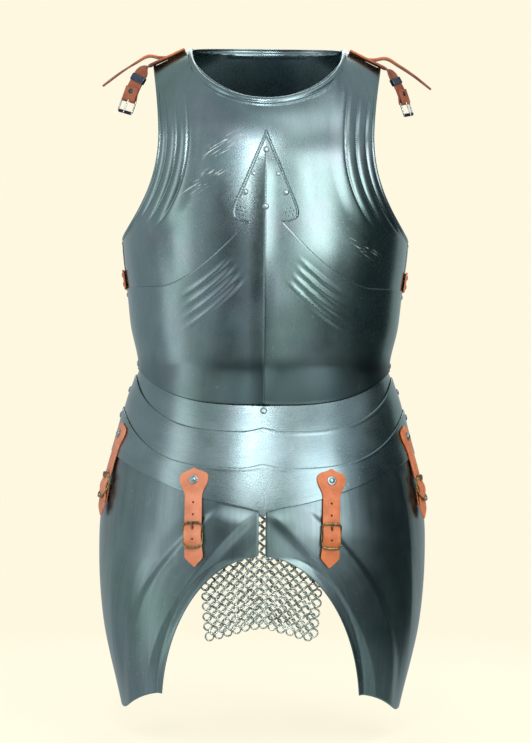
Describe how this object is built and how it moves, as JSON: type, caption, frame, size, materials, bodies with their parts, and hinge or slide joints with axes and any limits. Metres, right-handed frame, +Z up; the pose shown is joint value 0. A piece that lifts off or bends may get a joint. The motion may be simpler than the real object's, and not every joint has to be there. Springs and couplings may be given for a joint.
{
  "type": "cuirass",
  "caption": "Plate cuirass with a fluted breast, a pointed plackart, a back plate, laminated fauld and culet, strapped tassets and a mail apron.",
  "frame": {"origin": "middle of the waist, on the level of the waist rivets and in the plane of the side seams", "axes": "+Z up, the wearer's front towards -Y, +X towards the wearer's left side"},
  "size_m": [0.4294, 0.304, 0.8584],
  "materials": {
    "plate_steel": "satin brushed steel",
    "rivet_steel": "satin",
    "tan_leather": "smooth vegetable tanned",
    "dark_leather": "smooth, worn",
    "antique_brass": "aged",
    "nickel": "polished",
    "mail_steel": "bright wire"
  },
  "bodies": {
    "root": {"breastplate_upper": "plate_steel", "plackart": "plate_steel", "plackart_rivets": "rivet_steel", "waist_rivets": "rivet_steel", "fauld_lame_1": "plate_steel", "fauld_rivets_12": "rivet_steel", "shoulder_strap_left": "dark_leather", "shoulder_strap_right": "dark_leather", "shoulder_keepers": "nickel", "shoulder_rivets_front": "rivet_steel", "side_rivets_front": "rivet_steel", "side_strap_left": "tan_leather", "side_strap_right": "tan_leather"},
    "lame_2": {"fauld_lame_2": "plate_steel", "fauld_rivets_23": "rivet_steel"},
    "lame_3": {"fauld_lame_3": "plate_steel", "strap_rivets": "rivet_steel", "front_strap_left": "tan_leather", "front_strap_right": "tan_leather", "hip_strap_left": "tan_leather", "hip_strap_right": "tan_leather", "mail_band": "dark_leather"},
    "thigh_left": {"tasset_left": "plate_steel", "chapes_left": "tan_leather", "chape_rivets_left": "antique_brass", "buckles_left": "antique_brass", "prongs_left": "antique_brass"},
    "thigh_right": {"tasset_right": "plate_steel", "chapes_right": "tan_leather", "chape_rivets_right": "antique_brass", "buckles_right": "antique_brass", "prongs_right": "antique_brass"},
    "mail": {"mail_apron": "mail_steel"},
    "back": {"backplate": "plate_steel", "culet_waist_rivets": "rivet_steel", "culet_lame_1": "plate_steel", "culet_rivets_12": "rivet_steel", "shoulder_tongue_left": "dark_leather", "shoulder_tongue_right": "dark_leather", "shoulder_rivets_back": "rivet_steel", "side_chapes": "tan_leather", "side_rivets_back": "antique_brass", "side_buckles": "antique_brass", "side_prongs": "antique_brass"},
    "culet_2": {"culet_lame_2": "plate_steel", "culet_rivets_23": "rivet_steel"},
    "culet_3": {"culet_lame_3": "plate_steel"},
    "frame_left": {"shoulder_buckle_left": "nickel"},
    "frame_right": {"shoulder_buckle_right": "nickel"},
    "prong_left": {"shoulder_prong_left": "nickel"},
    "prong_right": {"shoulder_prong_right": "nickel"}
  },
  "joints": [
    {"name": "fauld_upper", "type": "hinge", "parent": "root", "child": "lame_2", "pos_m": [0, 0, -0.034], "axis": [-1, 0, 0], "range_deg": [0, 8]},
    {"name": "fauld_lower", "type": "hinge", "parent": "lame_2", "child": "lame_3", "pos_m": [0, 0, -0.067], "axis": [-1, 0, 0], "range_deg": [0, 8]},
    {"name": "tasset_left_swing", "type": "hinge", "parent": "lame_3", "child": "thigh_left", "pos_m": [-0.1527, -0.1191, -0.137], "axis": [-0.6762, 0.6762, 0.2924], "range_deg": [0, 25], "deforming": ["front_strap_left", "hip_strap_left"]},
    {"name": "tasset_right_swing", "type": "hinge", "parent": "lame_3", "child": "thigh_right", "pos_m": [0.1527, -0.1191, -0.137], "axis": [-0.6762, -0.6762, -0.2924], "range_deg": [0, 25], "deforming": ["front_strap_right", "hip_strap_right"]},
    {"name": "mail_swing", "type": "hinge", "parent": "lame_3", "child": "mail", "pos_m": [0, -0.1515, -0.1503], "axis": [1, 0, 0], "range_deg": [0, 20]},
    {"name": "back_open", "type": "hinge", "parent": "root", "child": "back", "pos_m": [-0.2, 0, 0], "axis": [0, 0, 1], "range_deg": [0, 60], "deforming": ["side_strap_left", "side_strap_right"]},
    {"name": "culet_upper", "type": "hinge", "parent": "back", "child": "culet_2", "pos_m": [0, 0.0211, -0.034], "axis": [1, 0, 0], "range_deg": [0, 6]},
    {"name": "culet_lower", "type": "hinge", "parent": "culet_2", "child": "culet_3", "pos_m": [0, 0.0248, -0.067], "axis": [1, 0, 0], "range_deg": [0, 6]},
    {"name": "shoulder_buckle_left_swing", "type": "hinge", "parent": "root", "child": "frame_left", "pos_m": [-0.17797, -0.01363, 0.34124], "axis": [-0.8194, 0.5, 0.2803], "range_deg": [0, 60]},
    {"name": "shoulder_buckle_right_swing", "type": "hinge", "parent": "root", "child": "frame_right", "pos_m": [0.17837, -0.01325, 0.34137], "axis": [-0.5427, -0.8192, -0.1857], "range_deg": [0, 60]},
    {"name": "shoulder_prong_left_swing", "type": "hinge", "parent": "frame_left", "child": "prong_left", "pos_m": [-0.17797, -0.01363, 0.34124], "axis": [-0.8194, 0.5, 0.2803], "range_deg": [0, 45]},
    {"name": "shoulder_prong_right_swing", "type": "hinge", "parent": "frame_right", "child": "prong_right", "pos_m": [0.17837, -0.01325, 0.34137], "axis": [-0.5427, -0.8192, -0.1857], "range_deg": [0, 45]}
  ]
}
